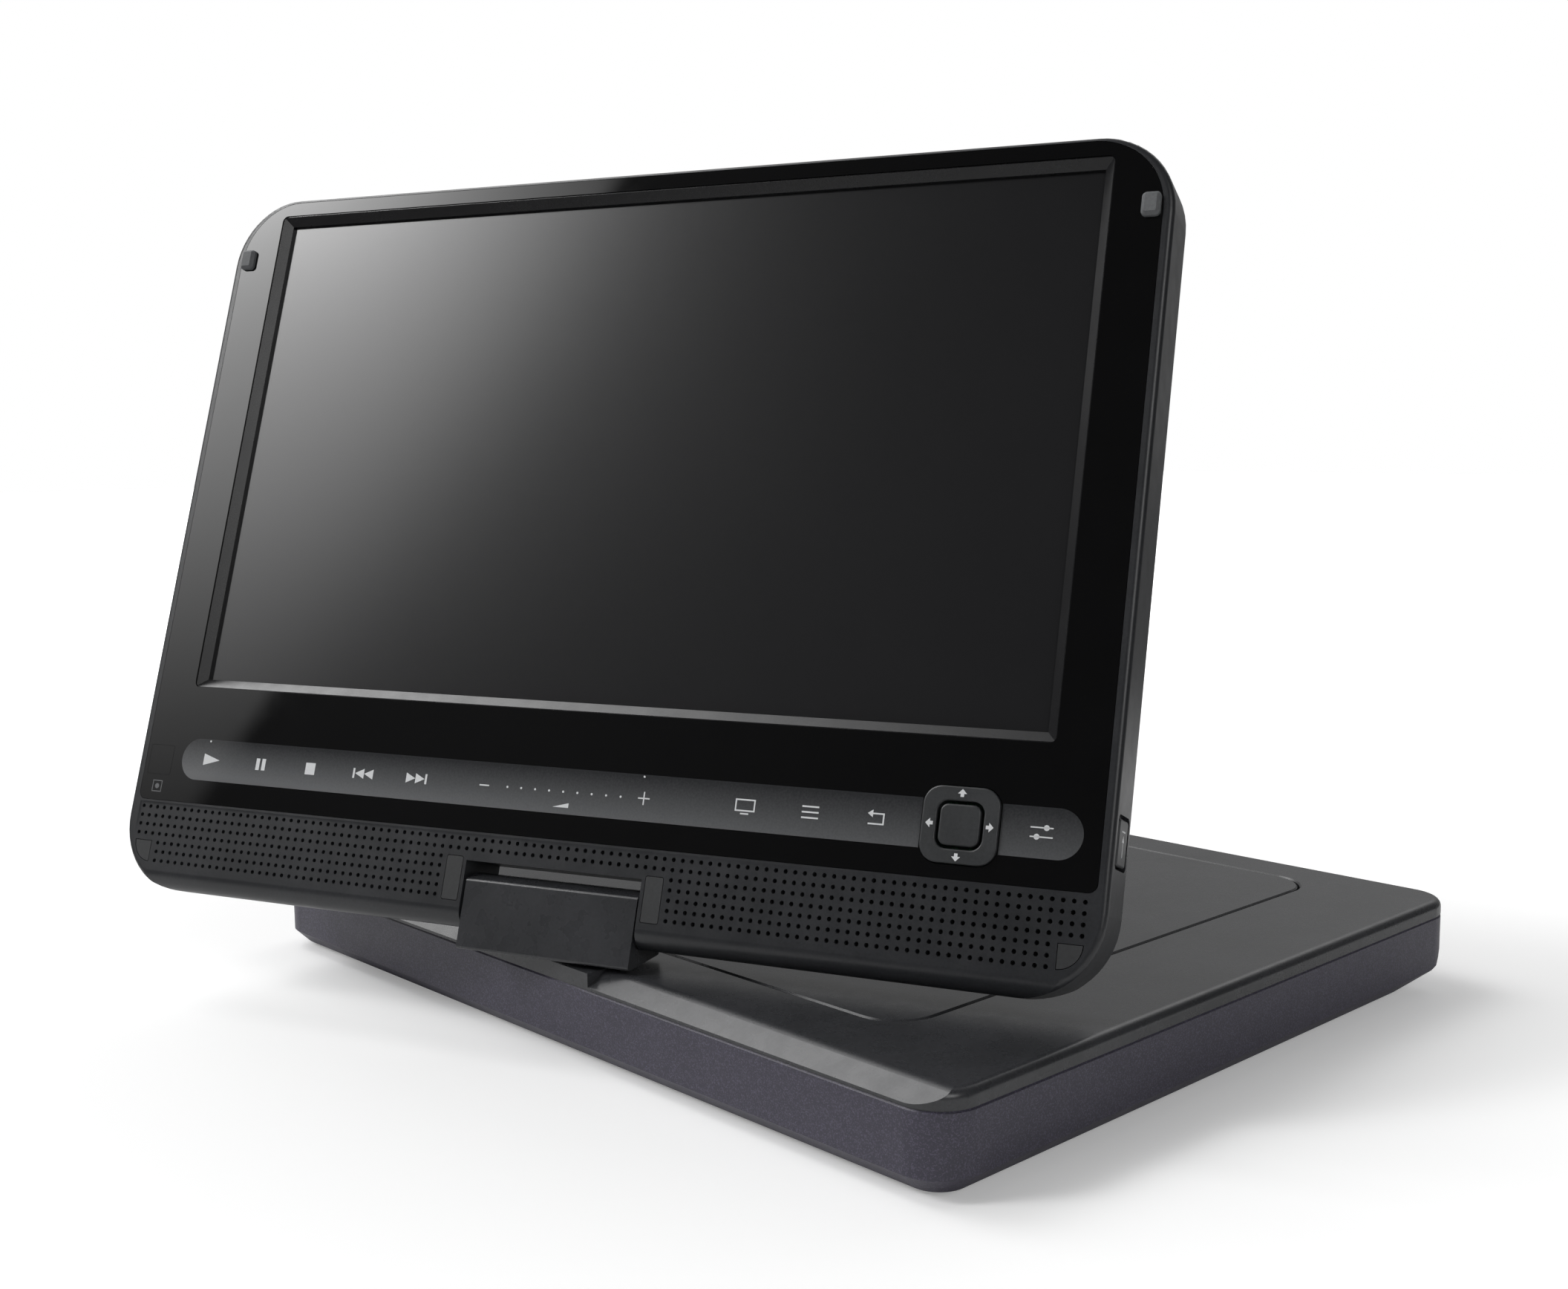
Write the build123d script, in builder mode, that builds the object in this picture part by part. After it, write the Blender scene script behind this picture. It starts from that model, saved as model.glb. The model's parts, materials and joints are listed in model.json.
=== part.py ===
"""Portable DVD player: a flat disc base with a screen that swivels and tilts on a rear hinge.

Millimetres. +Z is up and z = 0 is the table under the rubber feet. The base is centred on
x = 0, y = 0, its hinge is at the rear (+Y), and +X is at the right of a user sitting at -Y.
The screen is stored turned most of the way round to the rear and leaning back.
"""
import os
from math import atan2, cos, radians, sin

from build123d import *

os.makedirs("parts", exist_ok=True)

# ---- driving dimensions ----------------------------------------------------------------
base_width = 225.0
base_depth = 178.2
base_corner = 9.0
underside_z = 1.0
seam_z = 16.3
top_z = 20.0
wall = 2.0

display_width = 233.0
display_bottom = -20.2  # from the lower edge of the gloss panel
display_top = 149.4
display_corner = 16.5
display_thickness = 13.0
rim_depth = 10.8  # front shell, measured back from the front face

swivel_y = 79.8
facing = 202.05  # direction of the screen, turned about +Z from facing the user
lean = 19.2  # backward lean of the screen
panel_foot = (-2.15, 85.06, 44.56)  # middle of the gloss panel's lower edge

disc_centre_y = -3.75
disc_radius = 60.0

# ---- working planes --------------------------------------------------------------------
across = Vector(cos(radians(facing)), sin(radians(facing)), 0)
level_out = Vector(sin(radians(facing)), -cos(radians(facing)), 0)
outward = level_out * cos(radians(lean)) + Vector(0, 0, sin(radians(lean)))
front_plane = Plane(origin=panel_foot, x_dir=across, z_dir=outward)
swivel_origin = Vector(0, swivel_y, 0)
swivel_plane = Plane(origin=swivel_origin, x_dir=across, z_dir=(0, 0, 1))
display_mid = (display_top + display_bottom) / 2
display_height = display_top - display_bottom
top_plane = Plane.XY.offset(top_z)

tilt_v = display_bottom + 5.0
tilt_n = -display_thickness / 2
shaft_radius = 2.5


def section_plane(u):
    """Plane square to the tilt shaft at a distance u along it: x is out of the screen, y is up it."""
    origin = front_plane.from_local_coords((u, 0, 0))
    return Plane(origin=origin, x_dir=outward, z_dir=outward.cross(front_plane.y_dir))


# ---- lower casing ----------------------------------------------------------------------
casing_height = seam_z - underside_z
edge_bevel = 3.3
rear_y = base_depth / 2
front_undercut = [(-rear_y, seam_z), (-rear_y + 8.0, 5.0), (-rear_y + 21.7, underside_z)]
seam_lip, seam_gap = 0.3, 0.3
screw_spots = [(-105.5, -58), (105.5, -58), (-105.5, 10), (105.5, 60), (-90, 76), (90, 76)]
screw_head_z = 3.6
boss_radius, screw_recess_radius, screw_bore = 3.6, 2.9, 1.5
hatch_x, hatch_y = -67.5, 7.0
hatch_width, hatch_length, hatch_corner, hatch_thickness = 68.0, 110.0, 3.0, 1.2
hatch_ledge = 3.0
jack_y, jack_z = 20.0, 10.0
socket_length, socket_foot_z = 62.0, 6.0
socket_height = seam_z - socket_foot_z
switch_y = -40.0
switch_window = (16.0, 4.4)
side_cut = 10.0

with BuildPart() as lower_casing:
    with BuildSketch(Plane.XY.offset(underside_z)):
        RectangleRounded(base_width, base_depth, base_corner)
    extrude(amount=casing_height)
    chamfer(lower_casing.faces().sort_by(Axis.Z)[0].edges(), edge_bevel)
    with BuildSketch(Plane.YZ):
        with BuildLine():
            Polyline(*front_undercut, (-base_depth, 0), (-base_depth, seam_z), close=True)
        make_face()
    extrude(amount=base_width, both=True, mode=Mode.SUBTRACT)
    offset(amount=-wall, openings=lower_casing.faces().sort_by(Axis.Z)[-1])
    # bevelled lip round the outside of the seam
    chamfer(lower_casing.faces().sort_by(Axis.Z)[-1].outer_wire().edges(), seam_lip)
    floor_z = underside_z + wall
    boss_top = 10.0
    with BuildSketch(Plane.XY.offset(floor_z)):
        with Locations(*screw_spots):
            Circle(boss_radius)
    extrude(amount=boss_top - floor_z)
    with Locations(*[(x, y, boss_top) for x, y in screw_spots]):
        Hole(screw_bore)
    with BuildSketch(Plane.XY):
        with Locations(*screw_spots):
            Circle(screw_recess_radius)
    extrude(amount=screw_head_z, mode=Mode.SUBTRACT)
    board_pads = [(x, y) for x in (-20, 40, 94) for y in (-46, 56)]
    with BuildSketch(Plane.XY.offset(floor_z)):
        with Locations(*board_pads):
            Circle(2.5)
    extrude(amount=0.6)
    # battery opening with a ledge for its hatch
    with BuildSketch(Plane.XY):
        with Locations((hatch_x, hatch_y)):
            RectangleRounded(hatch_width, hatch_length, hatch_corner)
    extrude(amount=underside_z + hatch_thickness, mode=Mode.SUBTRACT)
    with BuildSketch(Plane.XY):
        with Locations((hatch_x, hatch_y)):
            RectangleRounded(hatch_width - 2 * hatch_ledge, hatch_length - 2 * hatch_ledge, hatch_corner)
    extrude(amount=floor_z, mode=Mode.SUBTRACT)
    # notch for the socket plate, open at the seam, and switch window in the right-hand side
    side_x = base_width / 2
    with Locations((side_x, jack_y, socket_foot_z + socket_height)):
        Box(side_cut, socket_length, 2 * socket_height, mode=Mode.SUBTRACT)
    with Locations((side_x, switch_y, jack_z)):
        Box(side_cut, *switch_window, mode=Mode.SUBTRACT)

# ---- top cover -------------------------------------------------------------------------
lid_width, lid_depth = 167.0, 144.5
lid_corner = 9.5
lid_gap = 0.5
lid_thickness = 1.8
lid_edge = 0.35
cover_skin = 2.0
bevel_run, bevel_foot = 5.0, 17.1
bevel_softness = 1.0  # how far the round along the bevel's upper edge reaches
bevel_slope = atan2(top_z - bevel_foot, bevel_run)
hinge_land = 17.0
swivel_hole = 6.7
button_x, button_y = 45.0, -82.8
button_length, button_width, button_gap = 16.0, 5.0, 0.3
cover_round = 1.8
hinge_plate_top = 16.2
hinge_screws = [(-24, 78), (24, 78)]

with BuildPart() as top_cover:
    with BuildSketch(Plane.XY.offset(seam_z)):
        RectangleRounded(base_width, base_depth, base_corner)
    extrude(amount=top_z - seam_z)
    fillet(top_cover.faces().sort_by(Axis.Z)[-1].edges(), cover_round)
    # the rear edge is crisp behind the hinge and slopes down to the casing on both sides of it
    with Locations((0, rear_y - 1, (seam_z + top_z) / 2)):
        Box(2 * hinge_land, 2, top_z - seam_z)
    bevel_start = (rear_y - bevel_run - bevel_softness, top_z)
    round_end = (rear_y - bevel_run + bevel_softness * cos(bevel_slope),
                 top_z - bevel_softness * sin(bevel_slope))
    for side in (-1, 1):
        with BuildSketch(Plane.YZ.offset(side * hinge_land)):
            with BuildLine():
                TangentArc(bevel_start, round_end, tangent=(1, 0))
                Polyline(round_end, (rear_y, bevel_foot), (rear_y + 2, bevel_foot),
                         (rear_y + 2, top_z + 2), (bevel_start[0], top_z + 2), bevel_start)
            make_face()
        extrude(amount=side * base_width, mode=Mode.SUBTRACT)
    # hollow underneath, deeper skin along the rear
    with BuildSketch(Plane.XY.offset(seam_z)):
        with Locations((0, -2.05)):
            RectangleRounded(base_width - 2 * wall, base_depth - 2 * wall - 4.1, 7)
    extrude(amount=top_z - cover_skin - seam_z, mode=Mode.SUBTRACT)
    with BuildSketch(Plane.XY.offset(seam_z)):
        with Locations((0, disc_centre_y)):
            RectangleRounded(lid_width + 2 * lid_gap, lid_depth + 2 * lid_gap, lid_corner + lid_gap)
        with Locations((0, swivel_y)):
            Circle(swivel_hole)
        with Locations((button_x, button_y)):
            SlotOverall(button_length + 2 * button_gap, button_width + 2 * button_gap)
    extrude(amount=top_z, mode=Mode.SUBTRACT)
    # eased edge round the lid's opening, and a fine gap along the seam
    openings = top_cover.faces().sort_by(Axis.Z)[-1].inner_wires()
    chamfer(max(openings, key=lambda wire: wire.length).edges(), lid_edge)
    with BuildSketch(Plane.XY.offset(seam_z)):
        RectangleRounded(base_width + 2, base_depth + 2, base_corner + 1)
        RectangleRounded(base_width - 2 * seam_gap, base_depth - 2 * seam_gap, base_corner - seam_gap,
                         mode=Mode.SUBTRACT)
    extrude(amount=seam_gap, mode=Mode.SUBTRACT)
    with BuildSketch(Plane.XY.offset(boss_top)):
        with Locations(*screw_spots):
            Circle(3.2)
    extrude(amount=top_z - cover_skin - boss_top + 0.2)
    with BuildSketch(Plane.XY.offset(boss_top)):
        with Locations(*screw_spots):
            Circle(1.25)
    extrude(amount=6, mode=Mode.SUBTRACT)
    with BuildSketch(Plane.XY.offset(hinge_plate_top)):
        with Locations(*hinge_screws):
            Circle(3.4)
            Circle(1.0, mode=Mode.SUBTRACT)
    extrude(amount=top_z - cover_skin - hinge_plate_top + 0.2)

# ---- disc well -------------------------------------------------------------------------
lid_underside = top_z - lid_thickness
tray_top = top_z - cover_skin
pit_floor = 12.8
tray_skin = 1.2
post_spots = [(-26, -34), (50, -33), (-26, 34), (50, 33)]
lid_hinge_x, lid_hinge_y, lid_hinge_z = 74.0, 65.5, 15.6
rod_reach = 18.0

with BuildPart() as disc_well:
    with BuildSketch(Plane.XY.offset(tray_top - 1.2)):
        with Locations((0, disc_centre_y)):
            RectangleRounded(lid_width + 8, lid_depth + 8, lid_corner + 4)
    extrude(amount=1.0)
    with BuildSketch(Plane.XY.offset(pit_floor - tray_skin)):
        with Locations((0, disc_centre_y)):
            Circle(disc_radius + 3.5)
    extrude(amount=tray_top - 0.2 - pit_floor + tray_skin)
    with BuildSketch(Plane.XY.offset(pit_floor)):
        with Locations((0, disc_centre_y)):
            Circle(disc_radius + 2)
    extrude(amount=10, mode=Mode.SUBTRACT)
    # window for the turntable and the laser pickup
    with BuildSketch(Plane.XY.offset(pit_floor - tray_skin - 1)):
        with Locations((0, disc_centre_y)):
            Circle(17.0)
        with Locations((31.5, disc_centre_y)):
            RectangleRounded(64, 15, 2)
    extrude(amount=tray_skin + 2, mode=Mode.SUBTRACT)
    with BuildSketch(Plane.XY.offset(9.0)):
        with Locations(*[(x, y + disc_centre_y) for x, y in post_spots]):
            Circle(3.5)
    extrude(amount=pit_floor - tray_skin - 9.0)
    # slots for the lid's arms and hook, and the ears that hold the lid's pins
    with BuildSketch(Plane.XY.offset(15)):
        with Locations((-lid_hinge_x, lid_hinge_y), (lid_hinge_x, lid_hinge_y)):
            Rectangle(5, 8)
        with Locations((button_x, disc_centre_y - lid_depth / 2 + 2.2)):
            Rectangle(8, 4)
    extrude(amount=5, mode=Mode.SUBTRACT)
    for ear_x in (lid_hinge_x - 4.5, lid_hinge_x + 4.5):
        with Locations((-ear_x, lid_hinge_y, lid_hinge_z + 0.1), (ear_x, lid_hinge_y, lid_hinge_z + 0.1)):
            Box(3, 4, 2.6)
    with Locations((0, lid_hinge_y, lid_hinge_z)):
        Cylinder(0.8, 200, rotation=(0, 90, 0), mode=Mode.SUBTRACT)

# ---- loading mechanism under the disc --------------------------------------------------
frame_z, frame_skin = 5.0, 1.0
rod_z = 8.6
rod_radius = 1.0
sled_home = 24.0
sled_travel = 34.0
screw_y = 25.5
screw_radius = 1.2
running_gap = 0.05

with BuildPart() as traverse_frame:
    with BuildSketch(Plane.XY.offset(frame_z)):
        with Locations((23, disc_centre_y)):
            RectangleRounded(112, 80, 3)
        with Locations((40, disc_centre_y)):
            Rectangle(62, 30, mode=Mode.SUBTRACT)
    extrude(amount=frame_skin)
    with Locations(*[(x, disc_centre_y, frame_z + 2.9) for x in (-14.5, 76)]):
        Box(2, 2 * rod_reach + 20, 5.8)
    with BuildSketch(Plane.YZ.offset(-20)):
        with Locations(*[(disc_centre_y + s * rod_reach, rod_z) for s in (-1, 1)]):
            Circle(rod_radius)
        with Locations((disc_centre_y + screw_y, rod_z)):
            Circle(screw_radius + running_gap)
    extrude(amount=100, mode=Mode.SUBTRACT)

with BuildPart() as guide_rods:
    with BuildSketch(Plane.YZ.offset(-15.5)):
        with Locations(*[(disc_centre_y + s * rod_reach, rod_z) for s in (-1, 1)]):
            Circle(rod_radius)
    extrude(amount=92.5)

with BuildPart() as frame_dampers:
    with BuildSketch(Plane.XY.offset(frame_z + frame_skin)):
        with Locations(*[(x, y + disc_centre_y) for x, y in post_spots]):
            Circle(3.5)
    extrude(amount=3.0)

with BuildPart() as spindle_motor:
    with BuildSketch(Plane.XY.offset(frame_z + frame_skin)):
        with Locations((0, disc_centre_y)):
            Circle(11.0)
    extrude(amount=5.4)
    with BuildSketch(Plane.XY.offset(6)):
        with Locations((0, disc_centre_y)):
            Circle(1.0)
    extrude(amount=20, mode=Mode.SUBTRACT)

with BuildPart() as turntable:
    with BuildSketch(Plane.XY.offset(7.0)):
        with Locations((0, disc_centre_y)):
            Circle(0.95)
    extrude(amount=6)
    with BuildSketch(Plane.XY.offset(12.2)):
        with Locations((0, disc_centre_y)):
            Circle(14.5)
    extrude(amount=2.0)
    with BuildSketch(Plane.XY.offset(14.2)):
        with Locations((0, disc_centre_y)):
            Circle(7.4)
    extrude(amount=3.0)
    chamfer(turntable.faces().sort_by(Axis.Z)[-1].edges(), 1.2)
    with Locations((0, disc_centre_y, 15.6)):
        with PolarLocations(6.4, 3):
            Cylinder(1.0, 4, rotation=(0, 90, 0), mode=Mode.SUBTRACT)

with BuildPart() as clamp_balls:
    with Locations((0, disc_centre_y, 15.6)):
        with PolarLocations(6.6, 3):
            Sphere(0.95)

with BuildPart() as pickup_sled:
    with BuildSketch(Plane.XY.offset(6.6)):
        with Locations((sled_home + 1.5, disc_centre_y)):
            Rectangle(21, 46)
        with Locations((sled_home + 1.5, disc_centre_y + screw_y)):
            Rectangle(8, 6)
    extrude(amount=4.3)
    with BuildSketch(Plane.YZ.offset(sled_home - 12)):
        with Locations(*[(disc_centre_y + s * rod_reach, rod_z) for s in (-1, 1)]):
            Circle(rod_radius + running_gap)
        with Locations((disc_centre_y + screw_y, rod_z)):
            Circle(screw_radius + running_gap)
    extrude(amount=30, mode=Mode.SUBTRACT)
    with BuildSketch(Plane.XY.offset(10.9)):
        with Locations((sled_home, disc_centre_y)):
            Circle(3.5)
    extrude(amount=1.3)

with BuildPart() as pickup_lens:
    with BuildSketch(Plane.XY.offset(12.2)):
        with Locations((sled_home, disc_centre_y)):
            Circle(2.0)
    extrude(amount=0.7)
    fillet(pickup_lens.faces().sort_by(Axis.Z)[-1].edges(), 0.5)

with BuildPart() as lead_screw:
    with BuildSketch(Plane.YZ.offset(-17)):
        with Locations((disc_centre_y + screw_y, rod_z)):
            Circle(screw_radius)
    extrude(amount=96)

with BuildPart() as sled_motor:
    with Locations((-25.2, disc_centre_y + screw_y, rod_z)):
        Cylinder(2.4, 16, rotation=(0, 90, 0))

# ---- disc lid with its latch -----------------------------------------------------------
lid_front = disc_centre_y - lid_depth / 2

with BuildPart() as disc_lid:
    with BuildSketch(Plane.XY.offset(lid_underside)):
        with Locations((0, disc_centre_y)):
            RectangleRounded(lid_width, lid_depth, lid_corner)
    extrude(amount=lid_thickness)
    chamfer(disc_lid.faces().sort_by(Axis.Z)[-1].edges(), lid_edge)

with BuildPart() as lid_arms:
    arm_foot = lid_hinge_z - 1.6
    with Locations(*[(x, lid_hinge_y, (arm_foot + lid_underside) / 2) for x in (-lid_hinge_x, lid_hinge_x)]):
        Box(4, 3.2, lid_underside - arm_foot)
    with Locations((0, lid_hinge_y, lid_hinge_z)):
        Cylinder(0.85, 200, rotation=(0, 90, 0), mode=Mode.SUBTRACT)

with BuildPart() as lid_pins:
    with Locations(*[(x, lid_hinge_y, lid_hinge_z) for x in (-lid_hinge_x, lid_hinge_x)]):
        Cylinder(0.8, 11, rotation=(0, 90, 0))

with BuildPart() as lid_hook:
    with Locations((button_x, lid_front + 2.2, lid_underside - 1.3)):
        Box(6, 1.6, 2.6)

with BuildPart() as lid_latch:
    with Locations((button_x, lid_front - 2.3, lid_underside - 3.2)):
        Box(8, 7.2, 1.6)

button_travel = 0.7
with BuildPart() as open_button:
    with BuildSketch(Plane.XY.offset(17.0)):
        with Locations((button_x, button_y)):
            SlotOverall(button_length, button_width)
    extrude(amount=3.6)
    fillet(open_button.faces().sort_by(Axis.Z)[-1].edges(), 0.5)
    with BuildSketch(Plane.XY.offset(16.8)):
        with Locations((button_x, button_y)):
            SlotOverall(button_length + 2, button_width)
    extrude(amount=1.0)

# ---- power supply, electronics and fastenings of the base ------------------------------
with BuildPart() as battery_pack:
    with Locations((hatch_x, hatch_y, 6.9)):
        Box(60, 102, 8.4)
    fillet(battery_pack.edges().filter_by(Axis.Y), 1.5)

with BuildPart() as battery_hatch:
    with BuildSketch(Plane.XY.offset(underside_z)):
        with Locations((hatch_x, hatch_y)):
            RectangleRounded(hatch_width - 0.4, hatch_length - 0.4, hatch_corner - 0.2)
    extrude(amount=hatch_thickness)
    with BuildSketch(Plane.XY.offset(underside_z)):
        with Locations(*[(hatch_x, hatch_y - 48 + 2.2 * i) for i in range(5)]):
            SlotOverall(18, 1)
    extrude(amount=0.5, mode=Mode.SUBTRACT)

with BuildPart() as main_board:
    with BuildSketch(Plane.XY.offset(floor_z + 0.6)):
        with Locations((37, 5)):
            RectangleRounded(126, 112, 3)
    extrude(amount=1.0)
    with BuildSketch(Plane.XY.offset(floor_z + 1.6)):
        with Locations((92, -20), (92, -30)):
            Rectangle(12, 6)
        with Locations((92, 40)):
            Rectangle(10, 10)
    extrude(amount=1.6)

with BuildPart() as rubber_feet:
    with BuildSketch():
        with Locations((-90, -57), (90, -57), (-75, 77), (75, 77)):
            Circle(5)
    extrude(amount=underside_z)
    chamfer(rubber_feet.faces().group_by(Axis.Z)[0].edges(), 0.3)

with BuildPart() as casing_screws:
    with BuildSketch(Plane.XY.offset(screw_head_z)):
        with Locations(*screw_spots):
            Circle(1.2)
    extrude(amount=10)
    with BuildSketch(Plane.XY.offset(screw_head_z - 1.6)):
        with Locations(*screw_spots):
            Circle(2.6)
    extrude(amount=1.6)
    with BuildSketch(Plane.XY.offset(screw_head_z - 1.6)):
        with Locations(*screw_spots):
            Rectangle(2.6, 0.6)
            Rectangle(0.6, 2.6)
    extrude(amount=0.8, mode=Mode.SUBTRACT)

# two headphone sockets, an audio-video socket and the power inlet
plug_radius = 1.8
inlet_radius = 2.8
small_sockets = [(-3.0, jack_z), (10.0, jack_z), (23.0, jack_z)]
inlet_y = 41.0
with BuildPart() as socket_plate:
    with Locations((side_x - 0.9, jack_y, socket_foot_z + socket_height / 2)):
        Box(1.8, socket_length - 0.2, socket_height - 0.2)
    fillet(socket_plate.edges().filter_by(Axis.X), 0.8)
    with BuildSketch(Plane.YZ.offset(side_x - 2)):
        with Locations(*small_sockets):
            Circle(plug_radius)
        with Locations((inlet_y, jack_z)):
            Circle(inlet_radius)
    extrude(amount=4, mode=Mode.SUBTRACT)

socket_depth = 14.0
with BuildPart() as small_jacks:
    with Locations(*[(side_x - 1.8 - socket_depth / 2, y, jack_z) for y, z in small_sockets]):
        Box(socket_depth, 7, 6)
    with BuildSketch(Plane.YZ.offset(side_x - 1.8)):
        with Locations(*small_sockets):
            Circle(plug_radius)
    extrude(amount=-socket_depth + 1, mode=Mode.SUBTRACT)

with BuildPart() as power_inlet:
    with Locations((side_x - 1.8 - 5.5, inlet_y, jack_z)):
        Box(11, 9, 7)
    with BuildSketch(Plane.YZ.offset(side_x - 1.8)):
        with Locations((inlet_y, jack_z)):
            Circle(inlet_radius)
    extrude(amount=-9.5, mode=Mode.SUBTRACT)
    with BuildSketch(Plane.YZ.offset(side_x - 1.8)):
        with Locations((inlet_y, jack_z)):
            Circle(0.8)
    extrude(amount=-10)

switch_travel = 5.0
knob_y = switch_y - switch_travel / 2
with BuildPart() as power_switch:
    with Locations((side_x - 1.0, knob_y, jack_z)):
        Box(4.0, 8, 4.0)
    with Locations((side_x - 3.1, knob_y, jack_z)):
        Box(1.6, 16, 5.6)
    with BuildSketch(Plane.XY.offset(jack_z - 3)):
        with Locations(*[(side_x + 1.0, knob_y + 1.6 * i) for i in (-1, 0, 1)]):
            Rectangle(0.6, 0.6)
    extrude(amount=6, mode=Mode.SUBTRACT)

# ---- swivel: a hollow post that turns in a bushing under the top cover -----------------
post_radius = 6.0
post_foot_z = 13.0
flange_radius, flange_gap = 8.4, 0.15
cable_bore = 3.5
plate_width, plate_depth, plate_thickness = 68.0, 20.2, 1.5
plate_rear = rear_y - wall - 0.1

with BuildPart() as hinge_plate:
    with BuildSketch(Plane.XY.offset(hinge_plate_top - plate_thickness)):
        with Locations((0, plate_rear - plate_depth / 2)):
            RectangleRounded(plate_width, plate_depth, 2)
        with Locations((0, swivel_y)):
            Circle(swivel_hole, mode=Mode.SUBTRACT)
        with Locations(*hinge_screws):
            Circle(1.5, mode=Mode.SUBTRACT)
    extrude(amount=plate_thickness)

with BuildPart() as hinge_plate_screws:
    screw_head = 1.4
    with BuildSketch(Plane.XY.offset(hinge_plate_top - plate_thickness - screw_head)):
        with Locations(*hinge_screws):
            Circle(2.2)
    extrude(amount=screw_head)
    with BuildSketch(Plane.XY.offset(hinge_plate_top - plate_thickness)):
        with Locations(*hinge_screws):
            Circle(0.95)
    extrude(amount=2 * plate_thickness)

with BuildPart() as swivel_bushing:
    bushing_foot = hinge_plate_top - plate_thickness
    with BuildSketch(Plane.XY.offset(bushing_foot)):
        with Locations((0, swivel_y)):
            Circle(swivel_hole)
            Circle(post_radius + running_gap, mode=Mode.SUBTRACT)
    extrude(amount=top_z - 0.05 - bushing_foot)

block_foot_z = 20.9
with BuildPart() as swivel_post:
    with BuildSketch(Plane.XY.offset(post_foot_z)):
        with Locations((0, swivel_y)):
            Circle(post_radius)
    extrude(amount=top_z + flange_gap - post_foot_z)
    with BuildSketch(Plane.XY.offset(top_z + flange_gap)):
        with Locations((0, swivel_y)):
            Circle(flange_radius)
    extrude(amount=block_foot_z - top_z - flange_gap)
    with BuildSketch(Plane.XY.offset(10)):
        with Locations((0, swivel_y)):
            Circle(cable_bore)
    extrude(amount=20, mode=Mode.SUBTRACT)

with BuildPart() as swivel_ring:
    with BuildSketch(Plane.XY.offset(post_foot_z)):
        with Locations((0, swivel_y)):
            Circle(6.9)
            Circle(post_radius, mode=Mode.SUBTRACT)
    extrude(amount=1.5)

# ---- hinge block on the post -----------------------------------------------------------
block_half = 20.7
block_top = -10.1
block_crown = -8.2
block_front = -0.3
block_rear = -display_thickness - block_front
block_skin = 1.6
block_split = tilt_n
foot_slope = sin(radians(lean)) / cos(radians(lean))
foot_front = (block_foot_z - panel_foot[2]) / cos(radians(lean)) - block_front * foot_slope
foot_rear = foot_front + (block_front - block_rear) * foot_slope
foot_mid = foot_front + (block_front - block_split) * foot_slope

with BuildPart() as block_solid:
    with BuildSketch(section_plane(block_half)):
        with BuildLine():
            Polyline((block_front, block_top), (block_front, foot_front), (block_rear, foot_rear),
                     (block_rear, block_top))
            ThreePointArc((block_rear, block_top), (block_split, block_crown), (block_front, block_top))
        make_face()
    extrude(amount=2 * block_half)
    fillet(block_solid.edges().filter_by(Axis(panel_foot, across)), 0.7)

shaft_axis = Plane(origin=front_plane.from_local_coords((0, tilt_v, tilt_n)), x_dir=outward, z_dir=across)
shaft_inner, shaft_outer = 8.0, 41.0

with BuildPart() as tilt_shafts:
    for side in (-1, 1):
        with BuildSketch(shaft_axis.offset(side * shaft_inner)):
            Circle(shaft_radius)
        extrude(amount=side * (shaft_outer - shaft_inner))

with BuildPart() as tilt_collars:
    for side in (-1, 1):
        with BuildSketch(shaft_axis.offset(side * (shaft_outer - 5))):
            Circle(2.9)
            Circle(shaft_radius, mode=Mode.SUBTRACT)
        extrude(amount=side * 4)

core_half, core_top = 15.0, block_top - 2.6
with BuildPart() as hinge_core:
    with BuildSketch(section_plane(core_half)):
        with BuildLine():
            Polyline((-2.5, core_top), (-2.5, -20.4), (-10.5, -17.6), (-10.5, core_top), close=True)
        make_face()
    extrude(amount=2 * core_half)
    add(tilt_shafts.part, mode=Mode.SUBTRACT)

with BuildPart() as block_cavity:
    with BuildSketch(section_plane(block_half - block_skin)):
        with BuildLine():
            Polyline((-1.9, block_top - 1.0), (-1.9, -21.0), (-11.1, -17.8),
                     (-11.1, block_top - 1.0), close=True)
        make_face()
    extrude(amount=2 * (block_half - block_skin))
    with BuildSketch(Plane.XY.offset(block_foot_z - 1)):
        with Locations((0, swivel_y)):
            Circle(cable_bore)
    extrude(amount=5)
    add(tilt_shafts.part)

with BuildPart() as block_front_cover:
    add(block_solid.part)
    split(bisect_by=front_plane.offset(block_split), keep=Keep.TOP)
    add(block_cavity.part, mode=Mode.SUBTRACT)

with BuildPart() as block_rear_cover:
    add(block_solid.part)
    split(bisect_by=front_plane.offset(block_split), keep=Keep.BOTTOM)
    add(block_cavity.part, mode=Mode.SUBTRACT)

# ---- screen housing --------------------------------------------------------------------
front_skin = 2.4
rim_wall = 1.8
heel_wall = 4.5
roll = 4.0
front_round, rear_round = 1.2, 1.8
cut_half, cut_top = 21.2, -6.2
cut_wall = 1.6
glass_depth = 1.2
glass_width, glass_height = 228.5, 148.4
fit_gap = 0.1
window_width, window_bottom, window_height = 207.8, 27.0, 118.2
window_mid = window_bottom + window_height / 2
screw_posts = [(u, v) for u in (-110.5, 110.5) for v in (24, 138)]
pad_u, pad_v = 87.05, 10.17
pad_width, pad_height, pad_corner = 15.3, 14.7, 3.7
button_v, button_n = 10.0, -6.2
finger_recess = (10.2, 8.6, 1.3)

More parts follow.
